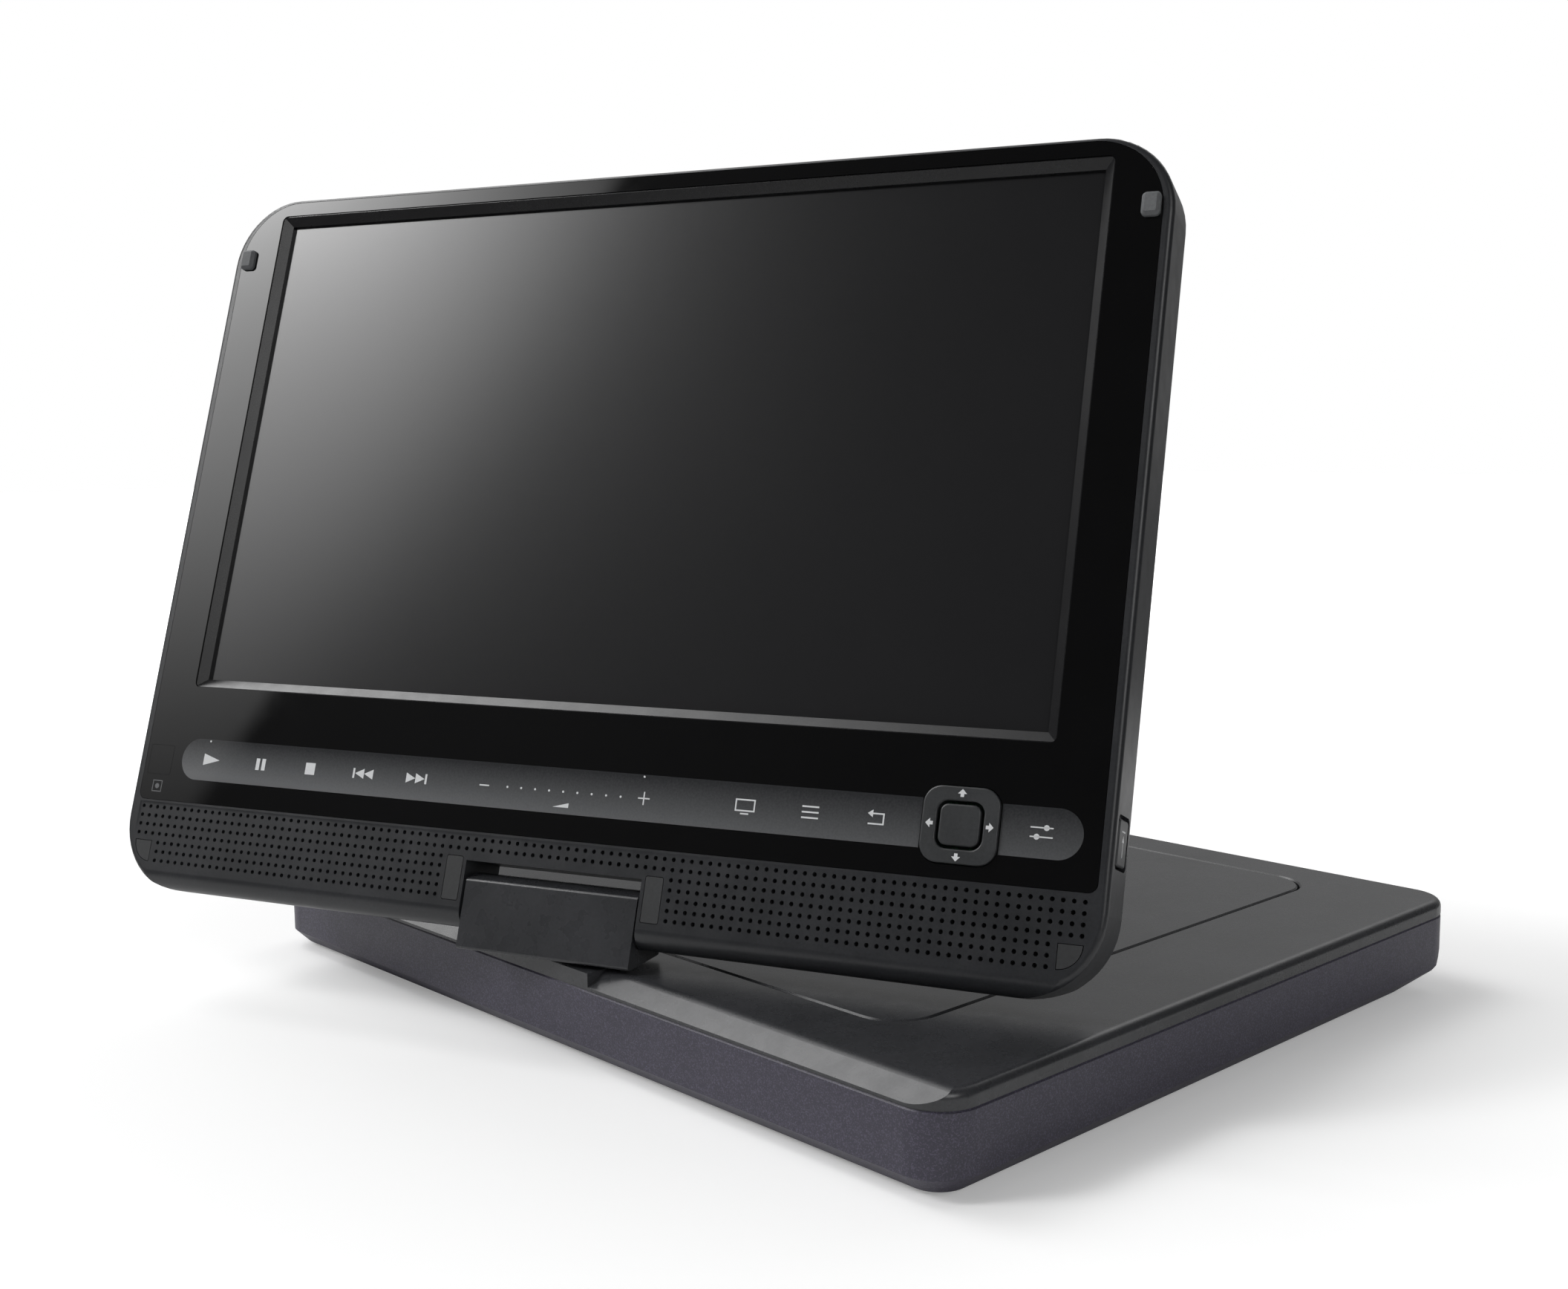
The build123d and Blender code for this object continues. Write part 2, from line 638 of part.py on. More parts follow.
with BuildPart() as screen_outline:
    with BuildSketch(front_plane):
        with Locations((0, display_mid)):
            RectangleRounded(display_width, display_height, display_corner)
    extrude(amount=-display_thickness)
    fillet(screen_outline.faces().sort_by(Axis(panel_foot, outward))[-1].edges(), front_round)
    fillet(screen_outline.faces().sort_by(Axis(panel_foot, outward))[0].edges(), rear_round)
    # rolled front edge along the foot, and the heel cut back behind it
    with BuildSketch(section_plane(display_width)):
        with BuildLine():
            Polyline((-roll, display_bottom), (-roll, display_bottom - 1), (1, display_bottom - 1),
                     (1, display_bottom + roll), (0, display_bottom + roll))
            RadiusArc((0, display_bottom + roll), (-roll, display_bottom), roll)
        make_face()
        with BuildLine():
            Polyline((-8, display_bottom), (-display_thickness, display_bottom + 4),
                     (-display_thickness - 1, display_bottom + 4),
                     (-display_thickness - 1, display_bottom - 1), (-8, display_bottom - 1), close=True)
        make_face()
    extrude(amount=2 * display_width, mode=Mode.SUBTRACT)
    with BuildSketch(front_plane.offset(1)):
        with Locations((0, cut_top - 10)):
            Rectangle(2 * cut_half, 20)
    extrude(amount=-display_thickness - 2, mode=Mode.SUBTRACT)

glass_corner, glass_foot_corner = 15.2, 1.8
with BuildSketch() as glass_outline:
    with Locations((0, glass_height / 2)):
        Rectangle(glass_width, glass_height)
    fillet(glass_outline.vertices().group_by(Axis.Y)[-1], glass_corner)
    fillet(glass_outline.vertices().group_by(Axis.Y)[0], glass_foot_corner)

grille_pitch = 2.06
grille_row = 2.05
first_row = -1.72
grille_top, grille_foot, grille_half = -0.55, -15.2, 113.6
grille_depth = 1.2
grille_hole = 0.45
grille_margin = front_round + 0.3
cloth_thickness = 0.2
with BuildSketch() as grille_outline:
    with Locations((0, (grille_top + grille_foot) / 2)):
        Rectangle(2 * grille_half, grille_top - grille_foot)
    with Locations((0, display_mid)):
        RectangleRounded(display_width - 2 * grille_margin, display_height - 2 * grille_margin,
                         display_corner - grille_margin, mode=Mode.INTERSECT)
    with Locations((0, grille_foot)):
        Rectangle(2 * cut_half + 1.2, 2 * (cut_top + 0.6 - grille_foot), mode=Mode.SUBTRACT)

# ---- screen housing: front shell -------------------------------------------------------
with BuildPart() as bezel:
    add(screen_outline.part)
    split(bisect_by=front_plane.offset(-rim_depth), keep=Keep.TOP)
    # inside of the shell, with a solid heel, hinge pockets and a wall round the hinge cut-out
    with BuildSketch(front_plane.offset(-front_skin)):
        with Locations((0, display_mid)):
            RectangleRounded(display_width - 2 * rim_wall, display_height - 2 * rim_wall,
                             display_corner - rim_wall)
        with Locations((0, display_bottom)):
            Rectangle(display_width, 2 * heel_wall, mode=Mode.SUBTRACT)
        with Locations((0, display_bottom + 5)):
            Rectangle(92, 6)
        with Locations((0, cut_top + cut_wall - 10)):
            Rectangle(2 * (cut_half + cut_wall), 20, mode=Mode.SUBTRACT)
    extrude(amount=-rim_depth, mode=Mode.SUBTRACT)
    with BuildSketch(front_plane.offset(-front_skin)):
        with Locations(*screw_posts):
            Circle(2.4)
    extrude(amount=-rim_depth + front_skin)
    # bed for the gloss panel, window for the screen, hole for the direction pad
    with BuildSketch(front_plane):
        offset(glass_outline.sketch, amount=fit_gap)
    extrude(amount=-glass_depth, mode=Mode.SUBTRACT)
    with BuildSketch(front_plane):
        with Locations((0, window_mid)):
            RectangleRounded(window_width, window_height, 1.5)
        with Locations((pad_u, pad_v)):
            RectangleRounded(pad_width + 0.4, pad_height + 0.4, pad_corner + 0.2)
    extrude(amount=-front_skin, mode=Mode.SUBTRACT)
    # bed for the grille, and sound slots behind it
    with BuildSketch(front_plane):
        add(grille_outline.sketch)
    extrude(amount=-grille_depth, mode=Mode.SUBTRACT)
    with BuildSketch(front_plane):
        with Locations((-85, -8), (85, -8)):
            SlotOverall(34, 11)
    extrude(amount=-front_skin, mode=Mode.SUBTRACT)
    # holes for the tilt shafts
    with BuildSketch(shaft_axis.offset(-30)):
        Circle(shaft_radius + 0.3)
    extrude(amount=60, mode=Mode.SUBTRACT)
    # finger recess and hole for the side button
    side_plane = Plane(origin=front_plane.from_local_coords((display_width / 2, button_v, button_n)),
                       x_dir=front_plane.y_dir, z_dir=across)
    with BuildSketch(side_plane):
        RectangleRounded(*finger_recess)
    extrude(amount=-1.0, mode=Mode.SUBTRACT)
    with BuildSketch(side_plane):
        RectangleRounded(9.3, 7.1, 1.0)
    extrude(amount=-4, mode=Mode.SUBTRACT)

grille_holes = []
for row in range(7):
    v = first_row - grille_row * row
    reach = 55 if row < 4 else 52
    start = 0 if row < 2 else 13
    for column in range(start, reach):
        u = grille_pitch * (column + 0.5)
        grille_holes += [(u, v), (-u, v)]

cover_u, cover_v = 24.1, -10.15
corner_u, corner_v, corner_radius = 107.9, -9.5, 4.9
cover_width, cover_height, cover_depth, cover_gap = 3.95, 9.25, 0.8, 0.13
with BuildPart() as speaker_grille:
    with BuildSketch(front_plane.offset(cloth_thickness - grille_depth)):
        add(grille_outline.sketch)
        with Locations(*grille_holes):
            Circle(grille_hole, mode=Mode.SUBTRACT)
    extrude(amount=grille_depth - cloth_thickness)
    with BuildSketch(front_plane):
        with Locations((-cover_u, cover_v), (cover_u, cover_v)):
            RectangleRounded(cover_width + 2 * cover_gap, cover_height + 2 * cover_gap, 0.5)
    extrude(amount=-cover_depth, mode=Mode.SUBTRACT)
    for side in (-1, 1):
        with BuildSketch(front_plane):
            with BuildLine():
                Polyline((side * (corner_u + corner_radius), corner_v), (side * corner_u, corner_v),
                         (side * corner_u, corner_v - corner_radius))
                RadiusArc((side * corner_u, corner_v - corner_radius),
                          (side * (corner_u + corner_radius), corner_v), -side * corner_radius)
            make_face()
        extrude(amount=-cover_depth, mode=Mode.SUBTRACT)

with BuildPart() as grille_cloth:
    with BuildSketch(front_plane.offset(-grille_depth)):
        add(grille_outline.sketch)
    extrude(amount=cloth_thickness)

with BuildPart() as screw_covers:
    with BuildSketch(front_plane.offset(-cover_depth)):
        with Locations((-cover_u, cover_v), (cover_u, cover_v)):
            RectangleRounded(cover_width, cover_height, 0.4)
    extrude(amount=cover_depth)

with BuildPart() as corner_covers:
    near = corner_u + cover_gap
    far = corner_radius - 2.5 * cover_gap
    high = corner_v - cover_gap
    for side in (-1, 1):
        with BuildSketch(front_plane.offset(-cover_depth)):
            with BuildLine():
                Polyline((side * (near + far), high), (side * near, high), (side * near, high - far))
                RadiusArc((side * near, high - far), (side * (near + far), high), -side * far)
            make_face()
        extrude(amount=cover_depth)

with BuildPart() as gloss_panel:
    with BuildSketch(front_plane.offset(-glass_depth)):
        add(glass_outline.sketch)
        with Locations((0, window_mid)):
            RectangleRounded(window_width, window_height, 1.5, mode=Mode.SUBTRACT)
        with Locations((pad_u, pad_v)):
            RectangleRounded(pad_width + 0.4, pad_height + 0.4, pad_corner + 0.2, mode=Mode.SUBTRACT)
    extrude(amount=glass_depth)
    remote_u, remote_v, remote_size = -109.8, 9.35, 6.9
    with BuildSketch(front_plane):
        with Locations((remote_u, remote_v)):
            RectangleRounded(remote_size, remote_size, 0.5)
    extrude(amount=-0.6, mode=Mode.SUBTRACT)

with BuildPart() as remote_window:
    with BuildSketch(front_plane.offset(-0.6)):
        with Locations((remote_u, remote_v)):
            RectangleRounded(remote_size - 0.12, remote_size - 0.12, 0.45)
    extrude(amount=0.6)

surround_width = 2.2
with BuildPart() as screen_surround:
    with BuildSketch(front_plane.offset(-0.25)):
        with Locations((0, window_mid)):
            RectangleRounded(window_width - 0.1, window_height - 0.1, 1.45)
    extrude(amount=-front_skin + 0.25)
    with BuildSketch(front_plane.offset(-0.25)):
        with Locations((0, window_mid)):
            Rectangle(window_width - 0.5, window_height - 0.5)
    with BuildSketch(front_plane.offset(-1.7)):
        with Locations((0, window_mid)):
            Rectangle(window_width - 2 * surround_width, window_height - 2 * surround_width)
    loft(mode=Mode.SUBTRACT)
    with BuildSketch(front_plane):
        with Locations((0, window_mid)):
            Rectangle(window_width - 2 * surround_width, window_height - 2 * surround_width)
    extrude(amount=-display_thickness, mode=Mode.SUBTRACT)

with BuildPart() as lcd_panel:
    with BuildSketch(front_plane.offset(-front_skin)):
        with Locations((0, window_mid)):
            Rectangle(210.6, 119.6)
    extrude(amount=-1.3)

with BuildPart() as lcd_backlight:
    with BuildSketch(front_plane.offset(-front_skin - 1.3)):
        with Locations((0, window_mid)):
            Rectangle(211, 119.8)
    extrude(amount=-3.4)

with BuildPart() as key_board:
    with BuildSketch(front_plane.offset(-front_skin)):
        with Locations((0, 12.4)):
            Rectangle(206, 22)
    extrude(amount=-0.8)

with BuildPart() as display_board:
    with BuildSketch(front_plane.offset(-8.2)):
        with Locations((0, 70)):
            Rectangle(120, 70)
    extrude(amount=-1.0)

with BuildPart() as speakers:
    with BuildSketch(front_plane.offset(-front_skin)):
        with Locations((-85, -8), (85, -8)):
            SlotOverall(38, 13)
    extrude(amount=-5)

with BuildPart() as hinge_brackets:
    for side in (-1, 1):
        with BuildSketch(shaft_axis.offset(side * 26)):
            Circle(2.95)
            with Locations((0, -6.5)):
                Rectangle(6.0, 13)
            Circle(shaft_radius + 0.03, mode=Mode.SUBTRACT)
        extrude(amount=side * 8)

with BuildPart() as rear_shell:
    add(screen_outline.part)
    split(bisect_by=front_plane.offset(-rim_depth), keep=Keep.BOTTOM)
    with BuildSketch(front_plane.offset(-rim_depth)):
        with Locations((0, 66)):
            Rectangle(200, 130)
    extrude(amount=-0.6, mode=Mode.SUBTRACT)
    with BuildSketch(front_plane):
        with Locations(*screw_posts):
            Circle(1.1)
    extrude(amount=-20, mode=Mode.SUBTRACT)
    with BuildSketch(front_plane.offset(-display_thickness)):
        with Locations(*screw_posts):
            Circle(2.2)
    extrude(amount=1.0, mode=Mode.SUBTRACT)

with BuildPart() as shell_screws:
    with BuildSketch(front_plane.offset(-display_thickness + 1.0)):
        with Locations(*screw_posts):
            Circle(2.0)
            Circle(0.6, mode=Mode.SUBTRACT)
    extrude(amount=-0.9)
    with BuildSketch(front_plane.offset(-display_thickness + 1.0)):
        with Locations(*screw_posts):
            Circle(1.0)
    extrude(amount=1.2)

# soft pads that meet the base when the screen is folded onto it
bumper_u, bumper_v = 112.0, 134.0
bumper_height, bumper_bevel = 1.35, 0.7
with BuildPart() as closing_bumpers:
    with BuildSketch(front_plane):
        with Locations((-bumper_u, bumper_v), (bumper_u, bumper_v)):
            RectangleRounded(3.8, 5.0, 1.0)
    extrude(amount=bumper_height)
    chamfer(closing_bumpers.faces().group_by(Axis(panel_foot, outward))[-1].edges(), bumper_bevel)

# ---- keys that move --------------------------------------------------------------------
key_travel = 0.5
key_back = -front_skin + key_travel + 0.1
with BuildPart() as direction_key:
    with BuildSketch(front_plane.offset(key_back)):
        with Locations((pad_u, pad_v)):
            RectangleRounded(pad_width, pad_height, pad_corner)
            RectangleRounded(9.3, 9.1, 2.2, mode=Mode.SUBTRACT)
    extrude(amount=0.75 - key_back)
    rim = direction_key.faces().sort_by(Axis(panel_foot, outward))[-1]
    fillet(rim.edges(), 0.35)

with BuildPart() as enter_key:
    with BuildSketch(front_plane.offset(key_back)):
        with Locations((pad_u, pad_v)):
            RectangleRounded(8.1, 7.9, 1.6)
    extrude(amount=0.85 - key_back)
    fillet(enter_key.faces().sort_by(Axis(panel_foot, outward))[-1].edges(), 0.4)

with BuildPart() as input_button:
    with BuildSketch(side_plane.offset(-3.2)):
        RectangleRounded(8.8, 6.6, 0.8)
    extrude(amount=3.3)
    fillet(input_button.faces().sort_by(Axis(panel_foot, across))[-1].edges(), 0.4)

# ---- export ----------------------------------------------------------------------------
nodes = {
    "lower_casing": lower_casing, "top_cover": top_cover, "disc_well": disc_well,
    "traverse_frame": traverse_frame, "guide_rods": guide_rods, "frame_dampers": frame_dampers,
    "spindle_motor": spindle_motor, "turntable": turntable, "clamp_balls": clamp_balls,
    "pickup_sled": pickup_sled, "pickup_lens": pickup_lens, "lead_screw": lead_screw,
    "sled_motor": sled_motor, "disc_lid": disc_lid, "lid_arms": lid_arms, "lid_pins": lid_pins,
    "lid_hook": lid_hook, "lid_latch": lid_latch, "open_button": open_button,
    "battery_pack": battery_pack, "battery_hatch": battery_hatch, "main_board": main_board,
    "rubber_feet": rubber_feet, "casing_screws": casing_screws, "socket_plate": socket_plate,
    "small_jacks": small_jacks, "power_inlet": power_inlet, "power_switch": power_switch,
    "hinge_plate": hinge_plate, "hinge_plate_screws": hinge_plate_screws,
    "swivel_bushing": swivel_bushing, "swivel_post": swivel_post, "swivel_ring": swivel_ring,
    "tilt_shafts": tilt_shafts, "tilt_collars": tilt_collars, "hinge_core": hinge_core,
    "block_front_cover": block_front_cover, "block_rear_cover": block_rear_cover,
    "bezel": bezel, "speaker_grille": speaker_grille, "grille_cloth": grille_cloth,
    "screw_covers": screw_covers, "corner_covers": corner_covers,
    "gloss_panel": gloss_panel, "remote_window": remote_window,
    "screen_surround": screen_surround, "lcd_panel": lcd_panel, "lcd_backlight": lcd_backlight,
    "key_board": key_board, "display_board": display_board, "speakers": speakers,
    "hinge_brackets": hinge_brackets, "rear_shell": rear_shell, "shell_screws": shell_screws,
    "closing_bumpers": closing_bumpers, "direction_key": direction_key, "enter_key": enter_key,
    "input_button": input_button,
}
for name, builder in nodes.items():
    builder.part.label = name
    export_step(builder.part, f"parts/{name}.step")
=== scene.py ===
"""Looks of the portable DVD player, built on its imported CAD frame. Metres throughout."""

import json
from math import cos, log, pi, radians, sin

import bmesh
import bpy
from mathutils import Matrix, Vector


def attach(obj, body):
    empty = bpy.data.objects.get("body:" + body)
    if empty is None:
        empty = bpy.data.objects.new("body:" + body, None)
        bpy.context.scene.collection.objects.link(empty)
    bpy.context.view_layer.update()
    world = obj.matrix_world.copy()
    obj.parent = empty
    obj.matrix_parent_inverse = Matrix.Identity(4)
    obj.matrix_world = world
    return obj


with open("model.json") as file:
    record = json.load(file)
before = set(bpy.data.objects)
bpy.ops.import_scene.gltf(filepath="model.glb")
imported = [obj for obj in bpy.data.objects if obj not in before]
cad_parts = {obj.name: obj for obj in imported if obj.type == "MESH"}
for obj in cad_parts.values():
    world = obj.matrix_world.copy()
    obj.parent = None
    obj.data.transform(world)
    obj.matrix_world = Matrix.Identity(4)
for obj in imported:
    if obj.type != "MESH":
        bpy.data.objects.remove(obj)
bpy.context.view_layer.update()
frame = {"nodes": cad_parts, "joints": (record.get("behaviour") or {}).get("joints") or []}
nodes = frame["nodes"]
scene = bpy.context.scene
MM = 0.001

# ---- camera: it stands behind the base's left rear corner, a little above the screen's middle ----
CAMERA_PLACE = Vector((-0.29614, 0.29582, 0.12824))
AZIMUTH, PITCH, ROLL = radians(226.5467), radians(7.3771), radians(-0.5824)
LENS, SENSOR = 40.506, 36.0
SHIFT_X, SHIFT_Y = -0.00499, 0.00917


def make_camera():
    back = Vector((sin(AZIMUTH) * cos(PITCH), -cos(AZIMUTH) * cos(PITCH), sin(PITCH)))
    level = Vector((cos(AZIMUTH), sin(AZIMUTH), 0))
    steep = back.cross(level)
    right = level * cos(ROLL) + steep * sin(ROLL)
    up = steep * cos(ROLL) - level * sin(ROLL)
    camera = bpy.data.objects.new("camera", bpy.data.cameras.new("camera"))
    scene.collection.objects.link(camera)
    camera.matrix_world = [(*row, 0) for row in (right, up, back)] + [(*CAMERA_PLACE, 1)]
    camera.data.sensor_width = SENSOR
    camera.data.lens = LENS
    camera.data.shift_x, camera.data.shift_y = SHIFT_X, SHIFT_Y
    camera.data.clip_start, camera.data.clip_end = 0.01, 50
    return camera


scene.camera = make_camera()

# ---- the screen's own axes, read from its joints and its gloss panel ----
joints = {joint["name"]: joint for joint in frame["joints"]}
across = -Vector(joints["tilt"]["axis"]).normalized()
outward = -Vector(joints["direction_push"]["axis"]).normalized()
upward = outward.cross(across)


def span(node, direction):
    """Lowest and highest place of a CAD node along a direction."""
    places = [direction.dot(vertex.co) for vertex in nodes[node].data.vertices]
    return min(places), max(places)


panel_left, panel_right = span("gloss_panel", across)
panel_foot, panel_head = span("gloss_panel", upward)
panel_face = span("gloss_panel", outward)[1]
panel_middle = (panel_left + panel_right) / 2


# the control strip on the gloss panel, in millimetres on the screen
STRIP_LEFT, STRIP_RIGHT, STRIP_MID, STRIP_RADIUS = -103.5, 110.8, 10.14, 4.8
STRIP_DARK, STRIP_LIGHT = 14.6, 5.3  # heights where its colour is darkest and lightest


def on_screen(u, v, n=0.0):
    """A point in millimetres right and up of the middle of the gloss panel's lower edge, and out of it."""
    return (across * (panel_middle + u * MM) + upward * (panel_foot + v * MM)
            + outward * (panel_face + n * MM))


# ---- node materials ----
class Look:
    """A node material under construction."""

    def __init__(self, name):
        self.material = bpy.data.materials.new(name)
        self.material.use_nodes = True
        self.tree = self.material.node_tree
        self.shader = self.tree.nodes["Principled BSDF"]
        self.place = self.tree.nodes.new("ShaderNodeTexCoord").outputs["Object"]
        self.bumps = None

    def add(self, kind, settings=None, **inputs):
        node = self.tree.nodes.new(kind)
        for key, value in (settings or {}).items():
            setattr(node, key, value)
        for key, value in inputs.items():
            socket = node.inputs[key.replace("_", " ")]
            if isinstance(value, bpy.types.NodeSocket):
                self.tree.links.new(value, socket)
            else:
                socket.default_value = value
        return node

    def set(self, **inputs):
        for key, value in inputs.items():
            socket = self.shader.inputs[key.replace("_", " ")]
            if isinstance(value, bpy.types.NodeSocket):
                self.tree.links.new(value, socket)
            else:
                socket.default_value = value
        return self

    def noise(self, size, detail=2.0, roughness=0.5):
        """Noise with features about size metres across."""
        node = self.add("ShaderNodeTexNoise", Vector=self.place, Scale=1 / size, Detail=detail,
                        Roughness=roughness)
        return node.outputs["Fac"]

    def cells(self, size):
        """A random value for each cell about size metres across."""
        node = self.add("ShaderNodeTexVoronoi", Vector=self.place, Scale=1 / size)
        return self.add("ShaderNodeSeparateColor", Color=node.outputs["Color"]).outputs["Red"]

    def spread(self, value, low, high, from_low=0.0, from_high=1.0):
        node = self.add("ShaderNodeMapRange", Value=value, From_Min=from_low, From_Max=from_high,
                        To_Min=low, To_Max=high)
        return node.outputs["Result"]

    def sum(self, first, second, operation="ADD"):
        node = self.tree.nodes.new("ShaderNodeMath")
        node.operation = operation
        for socket, value in zip(node.inputs, (first, second)):
            if isinstance(value, bpy.types.NodeSocket):
                self.tree.links.new(value, socket)
            else:
                socket.default_value = value
        return node.outputs[0]

    def tint(self, dark, light, factor):
        """Colour running from dark to light with the factor."""
        ramp = self.add("ShaderNodeValToRGB", Fac=factor)
        ramp.color_ramp.elements[0].color = (*dark, 1)
        ramp.color_ramp.elements[1].color = (*light, 1)
        return ramp.outputs["Color"]

    def along(self, direction, start, end):
        """0 at start and 1 at end, in metres along a direction."""
        dot = self.add("ShaderNodeVectorMath", {"operation": "DOT_PRODUCT"})
        self.tree.links.new(self.place, dot.inputs[0])
        dot.inputs[1].default_value = direction
        return self.spread(dot.outputs["Value"], 0, 1, start, end)

    def bump(self, height, depth, strength=1.0):
        """Adds a relief of that depth in metres."""
        node = self.add("ShaderNodeBump", Height=height, Distance=depth, Strength=strength)
        if self.bumps:
            self.tree.links.new(self.bumps, node.inputs["Normal"])
        self.bumps = node.outputs["Normal"]
        self.tree.links.new(self.bumps, self.shader.inputs["Normal"])
        return self


def satin(name, dark, light, roughness, grain=0.00022, relief=0.000003):
    """Painted or moulded plastic: mottled colour, fine grain, uneven sheen."""
    look = Look(name)
    mottle = look.sum(look.noise(0.018, 3), look.noise(0.0006, 2), "MULTIPLY")
    look.set(Base_Color=look.tint(dark, light, look.spread(mottle, 0, 1, 0.15, 0.35)))
    look.set(Roughness=look.spread(look.noise(0.004, 3), roughness - 0.03, roughness + 0.03, 0.3, 0.7))
    look.bump(look.noise(grain, 2), relief)
    return look


def metallic_paint(name, dark, light, roughness, flake=0.00022):
    """Paint with fine flakes, each a little lighter or darker than the next."""
    look = satin(name, dark, light, roughness)
    flakes = look.spread(look.cells(flake), 0, 1, 0.55, 1)
    body = look.tint(dark, light, look.noise(0.02, 2))
    glint = [min(1, c * 3.2) for c in light]
    mix = look.add("ShaderNodeMix", {"data_type": "RGBA"})
    look.tree.links.new(look.sum(flakes, 0.45, "MULTIPLY"), mix.inputs["Factor"])
    look.tree.links.new(body, mix.inputs[6])
    mix.inputs[7].default_value = (*glint, 1)
    look.set(Base_Color=mix.outputs[2])
    return look


def gloss_black():
    look = Look("piano_black")
    look.set(Base_Color=look.tint((0.0012, 0.0012, 0.0014), (0.0024, 0.0024, 0.0027), look.noise(0.01, 3)))
    look.set(Roughness=look.spread(look.noise(0.006, 3), 0.02, 0.05, 0.3, 0.7))
    look.bump(look.noise(0.012, 1), 0.000004)
    return look


def lcd_face():
    look = Look("screen_glass")
    look.set(Base_Color=look.tint((0.010, 0.010, 0.011), (0.013, 0.013, 0.014), look.noise(0.03, 2)))
    look.set(Roughness=look.spread(look.noise(0.0003, 2), 0.15, 0.20, 0.3, 0.7), IOR=1.6)
    look.bump(look.noise(0.00012, 2), 0.000001)
    return look


def control_strip():
    """Strip under the gloss: dark at the top and lighter towards its foot, with painted shading across it
    that makes it lighter towards its left end and darker towards its right.
    """
    look = Look("control_strip")
    fade = look.along(upward, panel_foot + STRIP_DARK * MM, panel_foot + STRIP_LIGHT * MM)
    # painted shading across the strip: lighter at the left end, darker at the right
    painted_shade_across = look.spread(look.along(across, panel_left, panel_right), 1.25, 0.50)
    speckle = look.spread(look.noise(0.0004, 2), -0.06, 0.06, 0.3, 0.7)
    look.set(Base_Color=look.tint((0.028, 0.029, 0.031), (0.150, 0.153, 0.158),
                                  look.sum(look.sum(fade, painted_shade_across, "MULTIPLY"), speckle)))
    look.set(Roughness=look.spread(look.noise(0.006, 3), 0.04, 0.08, 0.3, 0.7))
    look.bump(look.noise(0.012, 1), 0.000003)
    return look


def brushed(name, dark, light, roughness):
    """Rolled or turned metal with a fine grain along X."""
    look = Look(name)
    stretch = look.add("ShaderNodeMapping", Vector=look.place, Scale=(0.06, 1, 1)).outputs["Vector"]
    lines = look.add("ShaderNodeTexNoise", Vector=stretch, Scale=4200, Detail=3).outputs["Fac"]
    look.set(Base_Color=look.tint(dark, light, look.spread(lines, 0, 1, 0.3, 0.7)), Metallic=1.0)
    look.set(Roughness=look.spread(lines, roughness - 0.05, roughness + 0.08, 0.3, 0.7))
    look.bump(lines, 0.000003)
    return look


def circuit():
    """Solder mask with tracks under it and pale pads."""
    look = Look("circuit_board")
    rows = look.add("ShaderNodeTexBrick", {"offset": 0.37}, Vector=look.place, Scale=220,
                    Mortar_Size=0.03, Color1=(0.010, 0.075, 0.030, 1), Color2=(0.006, 0.045, 0.020, 1),
                    Mortar=(0.030, 0.150, 0.060, 1))
    look.set(Base_Color=rows.outputs["Color"], Roughness=look.spread(look.noise(0.001), 0.3, 0.45))
    look.bump(rows.outputs["Fac"], 0.00002)
    return look


def lens():
    look = Look("lens_glass")
    look.set(Base_Color=look.tint((0.05, 0.08, 0.22), (0.12, 0.07, 0.25), look.noise(0.002, 1)))
    look.set(Roughness=look.spread(look.noise(0.001), 0.02, 0.05), Coat_Weight=1.0)
    return look


def print_ink():
    look = Look("legend_print")
    look.set(Base_Color=look.tint((0.66, 0.67, 0.68), (0.76, 0.77, 0.78), look.noise(0.0004, 2)))
    look.set(Roughness=look.spread(look.noise(0.0008), 0.35, 0.5))
    look.bump(look.noise(0.00008, 2), 0.000003)
    return look


